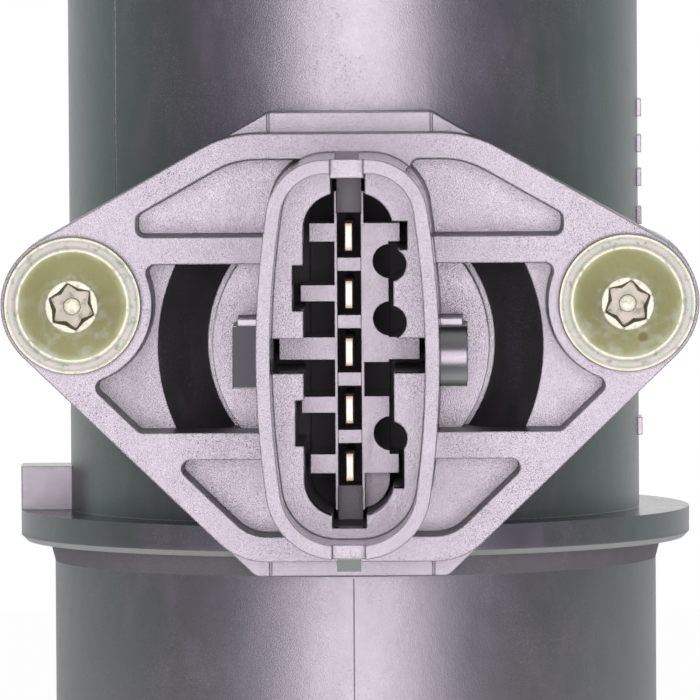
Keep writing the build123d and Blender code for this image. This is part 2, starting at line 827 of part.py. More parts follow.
# Inlet lattice against its shoulder and the split ring under it
grid_radius = mouth_radius - grid_clearance
cells_across = int(2 * grid_radius / grid_pitch) + 1
with BuildPart() as flow_grid:
    with BuildSketch(Plane.XY.offset(grid_seat)):
        Circle(grid_radius)
    extrude(amount=-grid_thickness)
    with BuildSketch(Plane.XY.offset(grid_seat)):
        with GridLocations(grid_pitch, grid_pitch, cells_across, cells_across):
            Rectangle(grid_pitch - grid_bar, grid_pitch - grid_bar)
        Circle(grid_radius - grid_rim, mode=Mode.INTERSECT)
    extrude(amount=-grid_thickness, mode=Mode.SUBTRACT)
flow_grid.part.label = "flow_grid"
export_step(flow_grid.part, "parts/flow_grid.step")

retainer_top = grid_seat - grid_thickness
with BuildPart() as grid_retaining_ring:
    retainer_foot = retainer_top - retainer_thickness
    with BuildSketch(Plane.YZ):
        rectangle((grid_radius - retainer_width, retainer_foot), (grid_radius, retainer_top))
    revolve(axis=Axis.Z, revolution_arc=360 - retainer_gap_angle)
grid_retaining_ring.part.label = "grid_retaining_ring"
export_step(grid_retaining_ring.part, "parts/grid_retaining_ring.step")
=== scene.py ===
import json
from collections import namedtuple
from math import atan2, cos, pi, radians, sin, tan, tau

import bmesh
import bpy
from mathutils import Matrix, Vector


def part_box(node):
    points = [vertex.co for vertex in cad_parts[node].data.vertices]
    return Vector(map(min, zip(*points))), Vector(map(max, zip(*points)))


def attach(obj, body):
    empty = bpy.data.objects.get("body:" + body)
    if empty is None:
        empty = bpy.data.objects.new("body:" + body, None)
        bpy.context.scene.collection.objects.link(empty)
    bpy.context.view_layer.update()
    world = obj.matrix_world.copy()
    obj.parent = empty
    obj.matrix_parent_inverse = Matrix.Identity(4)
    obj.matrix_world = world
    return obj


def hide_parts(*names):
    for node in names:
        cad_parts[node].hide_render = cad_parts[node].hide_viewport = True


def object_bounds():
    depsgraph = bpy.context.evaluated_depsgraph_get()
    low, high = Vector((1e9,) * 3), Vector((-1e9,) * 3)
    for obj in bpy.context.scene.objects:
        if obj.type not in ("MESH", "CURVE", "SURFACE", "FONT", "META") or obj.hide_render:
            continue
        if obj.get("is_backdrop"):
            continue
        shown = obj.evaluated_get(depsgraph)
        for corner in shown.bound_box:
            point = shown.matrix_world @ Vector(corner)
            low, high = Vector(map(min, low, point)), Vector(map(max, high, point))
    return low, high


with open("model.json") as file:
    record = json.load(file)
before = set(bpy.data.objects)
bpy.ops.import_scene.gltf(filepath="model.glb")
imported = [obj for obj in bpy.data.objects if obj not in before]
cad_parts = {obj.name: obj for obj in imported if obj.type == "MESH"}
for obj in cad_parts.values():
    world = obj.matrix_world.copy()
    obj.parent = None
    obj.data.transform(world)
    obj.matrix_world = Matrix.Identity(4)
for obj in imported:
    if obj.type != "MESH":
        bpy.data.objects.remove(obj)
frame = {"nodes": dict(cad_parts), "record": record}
cad_low, cad_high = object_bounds()

MM = 0.001
IMAGE = 700


def middle(node):
    """Middle of the box round a CAD node."""
    low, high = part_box(node)
    return (low + high) / 2


# Places in metres, read from the frame. Y runs from the connector's mouth into the object
SENSOR_Z = middle("o_ring").z
SCREW_PLACE = middle("screw_right")
HEAD_HEIGHT = 2.7 * MM
FLANGE = Vector((0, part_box("screw_left")[0].y + HEAD_HEIGHT, SENSOR_Z))
CARRIER = Vector((0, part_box("terminal_carrier")[0].y, SENSOR_Z))
BLADE = middle("terminal_3")
BLADE_PITCH = middle("terminal_1").z - middle("terminal_2").z
SPIGOT_LENGTH = 24.4 * MM
RING_THICKNESS = 2.8 * MM
RING_TOP = Vector((0, 0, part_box("duct_housing")[0].z + SPIGOT_LENGTH + RING_THICKNESS))


def rgb(red, green, blue):
    return (red, green, blue, 1.0)


def tinted(color, tint):
    """Colour whose three channels are multiplied by those of a tint."""
    return rgb(*[channel * factor for channel, factor in zip(color, tint)])


def darker(color, share):
    return tinted(color, (share, share, share))


def operator(operation):
    """An operator of Signal and its reflected form, as Math nodes."""

    def plain(self, other):
        return self.math(operation, self, other)

    def reflected(self, other):
        return self.math(operation, other, self)

    return plain, reflected


class Signal:
    """A number that varies over a surface. Arithmetic on it adds Math nodes."""

    def __init__(self, tree, socket):
        self.tree = tree
        self.socket = socket

    __add__, __radd__ = operator("ADD")
    __sub__, __rsub__ = operator("SUBTRACT")
    __mul__, __rmul__ = operator("MULTIPLY")
    __truediv__, __rtruediv__ = operator("DIVIDE")
    __pow__, __rpow__ = operator("POWER")

    def __abs__(self):
        return self.math("ABSOLUTE", self)

    def math(self, operation, *values):
        return self.tree.add("ShaderNodeMath", {"operation": operation}, dict(enumerate(values)))

    def above(self, limit):
        return self.math("GREATER_THAN", self, limit)

    def below(self, limit):
        return self.math("LESS_THAN", self, limit)

    def larger(self, other):
        return self.math("MAXIMUM", self, other)

    def remainder(self, period):
        return self.math("FLOORED_MODULO", self, period)

    def smooth(self, low, high):
        """0 under low, 1 over high and a soft slope between them."""
        sockets = {"Value": self, "From Min": low, "From Max": high}
        return self.tree.add("ShaderNodeMapRange", {"interpolation_type": "SMOOTHSTEP"}, sockets)


Axes = namedtuple("Axes", "x y z")


def distance(first, second):
    """Length of the diagonal over two sides."""
    return (first ** 2 + second ** 2) ** 0.5


class Finish:
    """A node material that is built up for one finish of the object."""

    def __init__(self, owner):
        """owner is the name of a new material, or a world that gets its nodes from here."""
        self.material = bpy.data.materials.new(owner) if isinstance(owner, str) else owner
        self.material.use_nodes = True
        self.nodes = self.material.node_tree.nodes
        self.links = self.material.node_tree.links
        self.nodes.clear()

    def add(self, kind, settings=None, sockets=None, output=0):
        """Makes a node, sets it up, fills or links its sockets and returns one of its outputs."""
        node = self.nodes.new(kind)
        for name, value in (settings or {}).items():
            if name == "stops":
                ramp = node.color_ramp.elements
                while len(ramp) < len(value):
                    ramp.new(0.5)
                for element, (position, color) in zip(ramp, value):
                    element.position = position
                    element.color = rgb(*color)
            else:
                setattr(node, name, value)
        for name, value in (sockets or {}).items():
            if isinstance(value, Signal):
                self.links.new(value.socket, node.inputs[name])
            else:
                node.inputs[name].default_value = value
        return Signal(self, node.outputs[output])

    def place(self, stretch=(1, 1, 1), origin=(0, 0, 0)):
        """Object coordinates in millimetres, stretched along each axis or counted from an origin."""
        sockets = {
            "Vector": self.add("ShaderNodeTexCoord", output="Object"),
            "Location": [-axis / MM for axis in origin],
            "Scale": [axis / MM for axis in stretch],
        }
        return self.add("ShaderNodeMapping", {}, sockets)

    def axes(self, vector):
        """The three parts of a vector, a signal each."""
        split = self.add("ShaderNodeSeparateXYZ", {}, {0: vector})
        return Axes(*[Signal(self, output) for output in split.socket.node.outputs])

    def spot(self, origin):
        """Millimetres from this origin, a signal for each axis."""
        return self.axes(self.place(origin=origin))

    def facing(self):
        """Direction that the surface faces, a signal for each axis."""
        return self.axes(self.add("ShaderNodeNewGeometry", output="Normal"))

    def noise(self, size, detail=2.0, stretch=(1, 1, 1)):
        """Cloudy pattern from 0 to 1 whose clouds are about this many millimetres across."""
        sockets = {"Vector": self.place(stretch), "Scale": 1 / size, "Detail": detail}
        return self.add("ShaderNodeTexNoise", {}, sockets)

    def specks(self, spacing, radius, share):
        """Small round specks: this far apart, this large, in millimetres, and this share of them."""
        sockets = {"Vector": self.place(), "Scale": 1 / spacing}
        away = self.add("ShaderNodeTexVoronoi", {}, sockets, "Distance")
        chance = self.add("ShaderNodeTexVoronoi", {}, sockets, "Color")
        return away.below(radius / spacing) * chance.above(1 - share)

    def corner(self, reach):
        """1 deep in inside corners and 0 from about this many millimetres away from them on."""
        sockets = {"Distance": reach * MM}
        openness = self.add("ShaderNodeAmbientOcclusion", {"samples": 4}, sockets, "AO")
        return 1 - openness.smooth(0.35, 0.8)

    def mix(self, amount, first, second):
        """Colour between two colours."""
        sockets = {0: amount, 6: first, 7: second}
        return self.add("ShaderNodeMix", {"data_type": "RGBA"}, sockets, 2)

    def bump(self, height, depth, edge):
        """Normal of a relief this many millimetres deep, on edges rounded by this radius."""
        rounded = self.add("ShaderNodeBevel", {"samples": 6}, {"Radius": edge * MM})
        sockets = {"Height": height, "Distance": depth * MM, "Normal": rounded}
        return self.add("ShaderNodeBump", {}, sockets)

    def background_share(self, mirrored=1.0):
        """1 for the camera's rays and mirrored for reflected ones, which see the white background."""
        kinds = ("Is Camera Ray", "Is Glossy Ray", "Is Transmission Ray")
        camera, glossy, clear = [self.add("ShaderNodeLightPath", output=kind) for kind in kinds]
        return camera + (glossy + clear) * mirrored

    def surface(self, **sockets):
        """Ends the material with a Principled shader. Underscores in the names stand for spaces."""
        named = {name.replace("_", " "): value for name, value in sockets.items()}
        return self.end_with(self.add("ShaderNodeBsdfPrincipled", {}, named))

    def end_with(self, shader):
        world = isinstance(self.material, bpy.types.World)
        output = self.nodes.new("ShaderNodeOutputWorld" if world else "ShaderNodeOutputMaterial")
        self.links.new(shader.socket, output.inputs["Surface"])
        return self.material


# What changes the black plastic: tints of its colour, colours that lie over it, and painted
# reflection and shade
CLOUD_TINT = (0.72, 0.86, 0.78)
STREAK_TINT = (1.5, 1.3, 1.6)
PALE_GRAIN = rgb(0.22, 0.205, 0.215)
DUST = rgb(0.42, 0.4, 0.38)
# Painted grey-green reflection on some slopes and chamfers
REFLECTED_GREY_GREEN = rgb(0.42, 0.48, 0.41)
CORNER_SHADE = rgb(0.01, 0.01, 0.01)
HOLLOW_SHADE = rgb(0.012, 0.012, 0.012)
# What its clouds, streaks and marks add to the roughness on average
AVERAGE_MARKS = 0.11


def moulded_plastic(
    name, color, roughness, edge, grit=1.0, rougher=None, painted_reflection=None, corners=None, hollow=None
):
    """Satin moulded plastic: fine grain, pale grains and duller grains, clouding, handling marks and
    dust.

    edge is the radius that its edges seem to have and grit the strength of its grain. The last
    four take the finish. rougher returns how much rougher the surface is and its share of the
    grain, the one after it where a grey-green reflection is painted on, corners where inside
    corners are rougher and darkened with painted shade, and hollow where the surface is deep,
    rougher and darkened with painted shade.
    """
    finish = Finish(name)
    clouds = finish.noise(6.0, 3.0)
    patches = clouds.smooth(0.42, 0.62)
    streaks = finish.noise(2.2, 4.0, stretch=(1.0, 1.0, 0.45))
    scuffs = finish.noise(1.6, 4.0, stretch=(1.0, 1.0, 0.25)).smooth(0.64, 0.78)
    mottle = finish.noise(0.9, 3.0)
    grain = finish.noise(0.11, 2.0)
    pale_grains = finish.noise(0.13, 1.0).smooth(0.56, 0.72)
    dull_grains = finish.noise(0.15, 1.0).smooth(0.58, 0.72)
    dust = finish.specks(spacing=2.4, radius=0.06, share=0.10)

    change, grain_share = rougher(finish) if rougher else (0.0, 1.0)
    relief = grain_share * grit
    rough = roughness - AVERAGE_MARKS + change
    rough = rough + clouds * 0.04 + mottle * 0.06 + scuffs * 0.05 + dust * 0.25 + streaks * 0.09
    rough = rough + dull_grains * (patches * 0.2 + 0.04) * relief

    base = finish.mix(clouds, tinted(color, CLOUD_TINT), rgb(*color))
    base = finish.mix(streaks.smooth(0.45, 0.75), base, tinted(color, STREAK_TINT))
    base = finish.mix(pale_grains * (patches * 0.4 + 0.15) * relief, base, PALE_GRAIN)
    base = finish.mix(dust, base, DUST)
    # Painted grey-green reflection where the given mask is set
    if painted_reflection:
        base = finish.mix(painted_reflection(finish), base, REFLECTED_GREY_GREEN)
    # Inside corners: rougher, and darkened with painted shade
    if corners:
        dull_and_shaded = corners(finish)
        rough = rough + dull_and_shaded * 0.3
        base = finish.mix(dull_and_shaded, base, CORNER_SHADE)
    # Deep hollows: rougher, and darkened with painted shade
    if hollow:
        deep = hollow(finish)
        rough = rough + deep * 0.55
        base = finish.mix(deep, base, HOLLOW_SHADE)
    return finish.surface(
        Base_Color=base, Roughness=rough, IOR=1.85, Specular_IOR_Level=1.0,
        Specular_Tint=rgb(1.0, 0.92, 1.0),
        Normal=finish.bump(grain * relief + mottle * 0.3, 0.035, edge),
    )


# Shapes that the finishes of the sensor and the duct are fitted to, in millimetres
SOCKET_HALF_WIDTH = 7.0
SOCKET_HALF_HEIGHT = 16.6
BLOCK_X = 8.05
RAMP_HALF_WIDTH = 2.0
RAMP_HEIGHT = 16.0
WINDOW_HALF_HEIGHT = 8.0
WINDOW_X = 14.0
LAND_HALF_WIDTH = 13.2
POCKET_DEPTH = 4.0
BEFORE_FLANGE = -0.2
LUG_X = -24.5
BARS_X = 25.5
RING_UNDERSIDE = -RING_THICKNESS / MM
# Directions of faces that look straight to the front or straight up
FACES_FRONT = -0.9
FACES_UP = 0.8


def socket_hollow_shade(finish):
    """Inside of the connector, darkened with painted shade more and more towards its terminal
    carrier.
    """
    spot = finish.spot(CARRIER)
    across, up = spot.x / SOCKET_HALF_WIDTH, spot.z / SOCKET_HALF_HEIGHT
    return (across ** 2 + up ** 4).below(1.0) * spot.y.smooth(-7.4, -3.0)


def carrier_hollow_shade(finish):
    """Cells and pockets of the terminal carrier, darkened with painted shade deeper in."""
    return finish.spot(CARRIER).y.smooth(1.9, 4.6)


def pocket_corner_shade(finish):
    """Inside corners of the flange's pockets, but not those of the deeper land, which get painted
    shade.
    """
    return finish.corner(0.4) * finish.spot(FLANGE).y.below(POCKET_DEPTH) * 0.8


def shroud_grain(finish):
    """Smoother walls and blocks in front of the flange, and its own dullness for each pocket.

    Returns how much rougher the surface is and its share of the grain.
    """
    spot, facing = finish.spot(FLANGE), finish.facing()
    in_front = spot.y.below(BEFORE_FLANGE)
    walls = 1 - abs(facing.y).smooth(0.3, 0.6)
    blocks = abs(spot.x).above(BLOCK_X)
    rim = spot.y.below((cad_low.y - FLANGE.y) / MM + 0.4)
    floors = spot.y.above(0.5) * facing.y.below(FACES_FRONT)
    upper_pockets = spot.z.above(WINDOW_HALF_HEIGHT)
    between_ribs = abs(spot.z).below(WINDOW_HALF_HEIGHT)
    left_window = (0 - spot.x).smooth(WINDOW_X, WINDOW_X + 6.0) * between_ribs
    land = abs(spot.x).below(LAND_HALF_WIDTH) * between_ribs
    change = in_front * (walls * -0.25 + blocks * -0.03) + rim * 0.03
    change = change + floors * (upper_pockets * -0.045 + left_window * 0.08 + land * -0.04)
    return change, 1 - in_front * walls.larger(blocks) * 0.9


def painted_slope_reflection(finish):
    """Lower face of the right block and the shroud's latch ramps, which get a painted grey-green
    reflection.
    """
    spot, facing = finish.spot(FLANGE), finish.facing()
    block_end = spot.x.above(BLOCK_X) * (0 - spot.z).smooth(1.5, 2.9) * 0.38
    sloping = facing.y.above(-0.95) * facing.y.below(-0.15)
    ends = spot.z.above(RAMP_HEIGHT) * 0.64 + spot.z.below(-RAMP_HEIGHT) * 0.8
    ramps = abs(spot.x).below(RAMP_HALF_WIDTH) * sloping * ends
    return spot.y.below(BEFORE_FLANGE) * block_end.larger(ramps)


def duct_grain(finish):
    """Duller spigot, flare and lug, smoother faces that look up and smoother bars without grain.

    Returns how much rougher the surface is and its share of the grain.
    """
    spot, facing = finish.spot(RING_TOP), finish.facing()
    spigot = spot.z.below(-2.0)
    flare = facing.z.below(-0.1) * facing.z.above(-0.5) * spot.z.below(0.0)
    front = facing.y.below(FACES_FRONT)
    lug = front * spot.x.below(LUG_X)
    bars = front * spot.x.above(BARS_X) * spot.z.above(1.0)
    change = spigot * 0.05 + facing.z.above(FACES_UP) * -0.2 + flare * 0.45 + lug * 0.1 + bars * -0.05
    return change, 1 - bars


def painted_ring_reflection(finish):
    """Chamfer under the stop ring, which gets a painted grey-green reflection."""
    spot, facing = finish.spot(RING_TOP), finish.facing()
    sloping = facing.z.below(-0.6) * facing.z.above(-0.8)
    chamfer = spot.z.above(RING_UNDERSIDE - 0.2) * spot.z.below(RING_UNDERSIDE + 0.8)
    return sloping * chamfer * 0.3


def zinc_plate(name, first, second, roughness):
    """Dull zinc with clouds between two colours, fine grain and a few stains."""
    finish = Finish(name)
    clouds = finish.noise(1.1, 4.0)
    grain = finish.noise(0.12, 2.0)
    stains = finish.noise(0.6, 4.0).smooth(0.54, 0.70)
    base = finish.mix(clouds.smooth(0.35, 0.65), rgb(*first), rgb(*second))
    base = finish.mix(stains * 0.5, base, darker(first, 0.72))
    return finish.surface(
        Base_Color=base, Metallic=0.85, Roughness=roughness - 0.05 + clouds * 0.1 + stains * 0.08,
        Normal=finish.bump(grain + clouds * 0.5, 0.012, 0.03),
    )


# The one rust spot, in millimetres from the middle of the right screw
RUST_RIGHT = 1.35
RUST_BELOW = 3.0
RUST_RADIUS = 0.62


def olive_passivation(name):
    """Olive film on a screw head's cone: greener at its foot, pale patches of painted highlight that
    grow towards its lower side, rust in one spot.
    """
    finish = Finish(name)
    spot = finish.spot((0, 0, SCREW_PLACE.z))
    screw_x = SCREW_PLACE.x / MM
    from_screw = distance(abs(spot.x) - screw_x, spot.z)
    from_rust = distance(spot.x - (screw_x + RUST_RIGHT), spot.z + RUST_BELOW)
    clouds = finish.noise(2.2, 3.0)
    streaks = finish.noise(0.3, 3.0, stretch=(1.0, 1.0, 0.3))
    foot = from_screw.smooth(4.2, 4.8) * clouds.smooth(0.35, 0.6)
    painted_lower_highlight = finish.noise(1.3, 4.0).smooth(0.46, 0.74) * (2.0 - spot.z).smooth(0.0, 4.0)
    near_crown = finish.noise(0.7, 4.0).smooth(0.4, 0.7) * (1 - from_screw.smooth(2.5, 3.3))
    rust = 1 - from_rust.smooth(RUST_RADIUS * 0.4, RUST_RADIUS)
    base = finish.mix(clouds, rgb(0.255, 0.25, 0.105), rgb(0.325, 0.32, 0.15))
    base = finish.mix(streaks.smooth(0.4, 0.8) * 0.4, base, rgb(0.26, 0.24, 0.10))
    base = finish.mix(foot * 0.6, base, rgb(0.36, 0.43, 0.26))
    # Painted highlight: pale patches, stronger towards the lower side of the cone
    base = finish.mix(painted_lower_highlight * 0.55, base, rgb(0.46, 0.48, 0.40))
    base = finish.mix(near_crown * 0.5, base, rgb(0.48, 0.47, 0.38))
    base = finish.mix(rust * 0.75, base, rgb(0.16, 0.11, 0.04))
    return finish.surface(
        Base_Color=base, Metallic=0.1, Roughness=0.46 + painted_lower_highlight * 0.1 + clouds * 0.06,
        Normal=finish.bump(streaks, 0.012, 0.06),
    )


def tinned_brass(name):
    """Pale gold blades that are browner on their punched edges."""
    finish = Finish(name)
    spot = finish.spot(BLADE)
    pitch = BLADE_PITCH / MM
    along_blade = abs((spot.z + pitch / 2).remainder(pitch) - pitch / 2)
    punched = abs(spot.x).smooth(0.17, 0.36).larger(along_blade.smooth(0.7, 1.15))
    clouds = finish.noise(0.8, 3.0)
    scratches = finish.noise(0.25, 3.0, stretch=(1.0, 0.1, 1.0))
    base = finish.mix(clouds.smooth(0.4, 0.6), rgb(0.29, 0.265, 0.21), rgb(0.34, 0.325, 0.285))
    base = finish.mix(punched * 0.85, base, rgb(0.15, 0.11, 0.07))
    return finish.surface(
        Base_Color=base, Metallic=1.0, Roughness=0.36 + clouds * 0.1,
        Normal=finish.bump(scratches, 0.006, 0.1),
    )


def plain_metal(name, color, roughness):
    """Stamped sheet or spring steel with fine rolling lines."""
    finish = Finish(name)
    lines = finish.noise(0.3, 3.0, stretch=(1.0, 1.0, 0.08))
    clouds = finish.noise(4.0, 2.0)
    return finish.surface(
        Base_Color=finish.mix(clouds, darker(color, 0.85), rgb(*color)), Metallic=1.0,
        Roughness=roughness + lines * 0.1, Normal=finish.bump(lines, 0.004, 0.1),
    )


def small_part(name, color, roughness, cloud_size=0.6):
    """Rubber, laminate, ceramic and other small parts inside the sensor."""
    finish = Finish(name)
    clouds = finish.noise(cloud_size, 3.0)
    return finish.surface(
        Base_Color=finish.mix(clouds, darker(color, 0.75), rgb(*color)),
        Roughness=roughness + clouds * 0.08, Normal=finish.bump(clouds, 0.01, 0.05),
    )


# The plastics' grey-green masks are painted reflection, their corner and hollow masks painted shade
finishes = {
    "duct_plastic": moulded_plastic(
        "duct_plastic", (0.034, 0.034, 0.034), roughness=0.38, edge=0.15, grit=0.5,
        rougher=duct_grain, painted_reflection=painted_ring_reflection,
    ),
    "sensor_plastic": moulded_plastic(
        "sensor_plastic", (0.036, 0.034, 0.036), roughness=0.35, edge=0.2,
        rougher=shroud_grain, painted_reflection=painted_slope_reflection, corners=pocket_corner_shade, hollow=socket_hollow_shade,
    ),
    "carrier_plastic": moulded_plastic(
        "carrier_plastic", (0.036, 0.034, 0.036), roughness=0.42, edge=0.1, grit=0.7,
        hollow=carrier_hollow_shade,
    ),
    "cover_plastic": moulded_plastic(
        "cover_plastic", (0.034, 0.034, 0.034), roughness=0.45, edge=0.12
    ),
    "element_carrier_plastic": moulded_plastic(
        "element_carrier_plastic", (0.03, 0.03, 0.03), roughness=0.5, edge=0.05
    ),
    "grid_plastic": moulded_plastic("grid_plastic", (0.03, 0.03, 0.03), roughness=0.5, edge=0.1),
    "screw_zinc": zinc_plate("screw_zinc", (0.25, 0.27, 0.22), (0.32, 0.295, 0.275), 0.5),
    "terminal_metal": tinned_brass("terminal_metal"),
    "plate_aluminium": plain_metal("plate_aluminium", (0.82, 0.82, 0.83), 0.35),
    "retainer_steel": plain_metal("retainer_steel", (0.62, 0.62, 0.63), 0.3),
    "seal_rubber": small_part("seal_rubber", (0.02, 0.02, 0.02), 0.6),
    "board_laminate": small_part("board_laminate", (0.02, 0.13, 0.07), 0.4),
    "chip_epoxy": small_part("chip_epoxy", (0.025, 0.025, 0.027), 0.55),
    "capacitor_ceramic": small_part("capacitor_ceramic", (0.42, 0.30, 0.20), 0.4),
    "element_silicon": small_part("element_silicon", (0.14, 0.15, 0.22), 0.12, cloud_size=1.5),
    "thermistor_epoxy": small_part("thermistor_epoxy", (0.06, 0.035, 0.03), 0.25),
}

slot_of = {part["node"]: part["material_slot"] for part in frame["record"]["subparts"]}
for name, node in frame["nodes"].items():
    for slot in node.material_slots:
        slot.material = finishes[slot_of[name]]


def make_piece(name, mesh, materials):
    """Turns a finished bmesh into an object with these materials."""
    data = bpy.data.meshes.new(name)
    mesh.to_mesh(data)
    mesh.free()
    for material in materials:
        data.materials.append(material)
    piece = bpy.data.objects.new(name, data)
    bpy.context.collection.objects.link(piece)
    return piece


# Screws. Radii and heights are in millimetres, heights from the underside of the washer head
SCREW_SIDES = 144
SCREW_LENGTH = 17.0
SCREW_POINT = 0.6
TIP_ROUNDING = radians(2.5)
CREASE = radians(32)
THREAD_START = 0.6
THREAD_LENGTH = 14.6
THREAD_PITCH = 1.6
THREAD_STEPS = 6
THREAD_ROOT = 1.45
THREAD_HEIGHT = 0.5
THREAD_SLOPE = 3.4
# Places in the list of a screw's finishes
WASHER, OLIVE, RIM, RECESS, SHADED_RECESS_WALL = range(5)
SCREW_FINISHES = [
    finishes["screw_zinc"],
    olive_passivation("screw_olive"),
    zinc_plate("screw_rim", (0.38, 0.37, 0.28), (0.45, 0.44, 0.36), 0.5),
    zinc_plate("screw_recess", (0.31, 0.30, 0.24), (0.40, 0.37, 0.31), 0.56),
    # Recess walls: a darker copy of the zinc, as painted shade
    zinc_plate("screw_recess_wall_shade", (0.13, 0.12, 0.05), (0.17, 0.16, 0.08), 0.5),
]


def star(tip, waist, turn):
    """Outline of a six-pointed recess with straight flanks, by the radius of its tips and waists."""
    half = pi / 6

    def outline(angle):
        from_waist = abs((angle - turn) % (2 * half) - half)
        from_tip = ((half - from_waist) ** 2 + TIP_ROUNDING ** 2) ** 0.5
        return tip * waist * sin(half) / (tip * sin(from_tip) + waist * sin(half - from_tip))

    return outline


def thread(drop):
    """Outline of the threaded shank this far below the thread's start."""

    def outline(angle):
        phase = (drop / THREAD_PITCH + angle / tau) % 1
        return THREAD_ROOT + THREAD_HEIGHT * max(0.0, 1 - abs(phase - 0.5) * THREAD_SLOPE)

    return outline


def screw_rings(turn):
    """Rings from the pin's top out over the head and down the shank: radius, height, finish."""
    pin = [
        (0.30, 1.70, RIM), (0.62, 1.69, RIM), (0.74, 1.65, RIM), (0.77, 1.43, RIM),
        (0.86, 1.41, RECESS),
    ]
    # The recess's walls take the darker zinc, which is painted shade
    recess = [
        (star(2.06, 1.42, turn), 1.40, RECESS), (star(2.16, 1.70, turn), 2.50, SHADED_RECESS_WALL),
        (star(2.20, 1.76, turn), 2.63, RIM),
    ]
    crown = [(2.27, 2.67, RIM), (2.38, 2.63, RIM), (2.47, 2.52, OLIVE)]
    cone = [
        (3.00, 2.06, OLIVE), (3.60, 1.58, OLIVE), (4.20, 1.20, OLIVE), (4.62, 1.00, OLIVE),
        (4.82, 0.965, OLIVE),
    ]
    inner_bead = [(4.88, 0.97, RIM), (5.04, 0.97, RIM), (5.10, 0.94, RIM)]
    outer_bead = [(5.80, 0.93, WASHER), (5.85, 0.95, RIM), (6.03, 0.95, RIM), (6.10, 0.88, RIM)]
    underside = [(6.11, 0.60, OLIVE), (6.11, 0.12, OLIVE), (6.02, 0.0, WASHER), (1.95, 0.0, WASHER)]
    drops = [
        step * THREAD_PITCH / THREAD_STEPS
        for step in range(int(THREAD_LENGTH / THREAD_PITCH * THREAD_STEPS) + 1)
    ]
    shank = [(thread(drop), -THREAD_START - drop, WASHER) for drop in drops]
    point = [(1.1, SCREW_POINT - SCREW_LENGTH, WASHER), (0.6, -SCREW_LENGTH, WASHER)]
    return pin + recess + crown + cone + inner_bead + outer_bead + underside + shank + point


def draw_out(mesh, ring, finish):
    """Extrudes a ring of points, gives the new faces this finish and returns the new ring."""
    edges = [mesh.edges.get((ring[i - 1], ring[i])) for i in range(len(ring))]
    made = bmesh.ops.extrude_edge_only(mesh, edges=edges)["geom"]
    for face in made:
        if isinstance(face, bmesh.types.BMFace):
            face.material_index = finish
    fresh = {vert for vert in made if isinstance(vert, bmesh.types.BMVert)}
    neighbours = [[edge.other_vert(vert) for edge in vert.link_edges] for vert in ring]
    return [next(vert for vert in near if vert in fresh) for near in neighbours]


def make_screw(name, x, height, turn):
    """Turns a tamper-proof screw from rings that are drawn out of one another."""
    mesh = bmesh.new()
    circle = bmesh.ops.create_circle(mesh, cap_ends=True, segments=SCREW_SIDES, radius=1)
    ring = circle["verts"]
    angles = [atan2(vert.co.y, vert.co.x) for vert in ring]
    mesh.faces.ensure_lookup_table()
    mesh.faces[0].material_index = RIM
    for number, (radius, level, finish) in enumerate(screw_rings(turn)):
        if number:
            ring = draw_out(mesh, ring, finish)
        for vert, angle in zip(ring, angles):
            reach = radius(angle) if callable(radius) else radius
            vert.co = Vector((reach * cos(angle), reach * sin(angle), level)) * MM
    bmesh.ops.contextual_create(mesh, geom=ring)
    bmesh.ops.recalc_face_normals(mesh, faces=mesh.faces[:])
    for face in mesh.faces:
        face.smooth = True
    facing_front = Matrix.Rotation(radians(90), 4, "X")
    in_flange = Matrix.Translation((x, FLANGE.y, SENSOR_Z + height))
    bmesh.ops.transform(mesh, matrix=in_flange @ facing_front, verts=mesh.verts[:])
    screw = make_piece(name + "_detailed", mesh, SCREW_FINISHES)
    screw.data.set_sharp_from_angle(angle=CREASE)
    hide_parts(name)
    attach(screw, "root")


make_screw("screw_left", -SCREW_PLACE.x, SCREW_PLACE.z - SENSOR_Z, radians(40))
make_screw("screw_right", SCREW_PLACE.x, SCREW_PLACE.z - SENSOR_Z, radians(20))


# Fine ridges that the mould's joints left on the duct. Sizes are in millimetres
SEAM_SIDES = 10
SPIGOT_SEAM_RADIUS = 27.69
DUCT_SEAM_RADIUS = 26.18
DUCT_SEAM_TOP = 75.8


def make_seam(name, turn, radius, low, high, width, rise):
    """Ridge along the duct at this angle from the front, in degrees, and between two heights."""
    mesh = bmesh.new()
    bmesh.ops.create_circle(mesh, cap_ends=True, segments=SEAM_SIDES, radius=width / 2)
    top = bmesh.ops.extrude_face_region(mesh, geom=mesh.faces[:])["geom"]
    upper = [vert for vert in top if isinstance(vert, bmesh.types.BMVert)]
    bmesh.ops.translate(mesh, verts=upper, vec=(0, 0, high - low))
    bmesh.ops.scale(mesh, verts=mesh.verts[:], vec=(1, 2 * rise / width, 1))
    bmesh.ops.translate(mesh, verts=mesh.verts[:], vec=(0, -radius, low))
    bmesh.ops.rotate(mesh, verts=mesh.verts[:], matrix=Matrix.Rotation(radians(turn), 3, "Z"))
    bmesh.ops.scale(mesh, verts=mesh.verts[:], vec=(MM, MM, MM))
    bmesh.ops.recalc_face_normals(mesh, faces=mesh.faces[:])
    seam = make_piece(name, mesh, [finishes["duct_plastic"]])
    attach(seam, "root")


make_seam("spigot_seam", 0.2, SPIGOT_SEAM_RADIUS, low=1.0, high=22.3, width=0.12, rise=0.03)
for name, turn, low in [("duct_seam_left", -55.1, 50.0), ("duct_seam_right", 124.9, 27.4)]:
    make_seam(name, turn, DUCT_SEAM_RADIUS, low, high=DUCT_SEAM_TOP, width=0.42, rise=0.07)


# Studio: a pale floor, a dim room that is bright behind the object and a softbox at the camera
FLOOR_RADIUS = 0.16
FLOOR_BEHIND = 0.10
FLOOR_SIDES = 96
FLOOR_GLOW = 0.97
WHITE = rgb(1.0, 1.0, 1.0)
FLOOR_PAPER = rgb(0.8, 0.8, 0.8)
CEILING = rgb(0.78, 0.84, 0.78)
